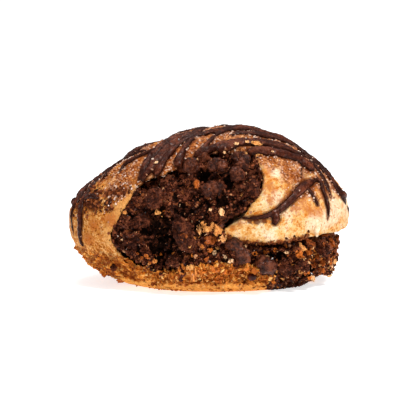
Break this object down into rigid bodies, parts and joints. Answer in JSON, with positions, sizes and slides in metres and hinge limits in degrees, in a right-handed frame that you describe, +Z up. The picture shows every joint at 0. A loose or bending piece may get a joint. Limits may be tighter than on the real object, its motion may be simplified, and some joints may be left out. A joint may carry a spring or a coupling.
{
  "type": "chocolate rugelach",
  "caption": "Soft baked dough roll with piped chocolate strands over its dome, open in front and at one end on a crumbly chocolate filling.",
  "frame": {"origin": "on the flat underside, below the middle of the roll", "axes": "+X along the roll to the end where the filling shows, +Y towards the back, away from the open front, +Z up"},
  "size_m": [0.0747, 0.0524, 0.0417],
  "materials": {
    "baked_dough": "matte",
    "chocolate_filling": "satin"
  },
  "bodies": {
    "root": {"pastry": "baked_dough", "filling": "chocolate_filling"}
  },
  "joints": []
}
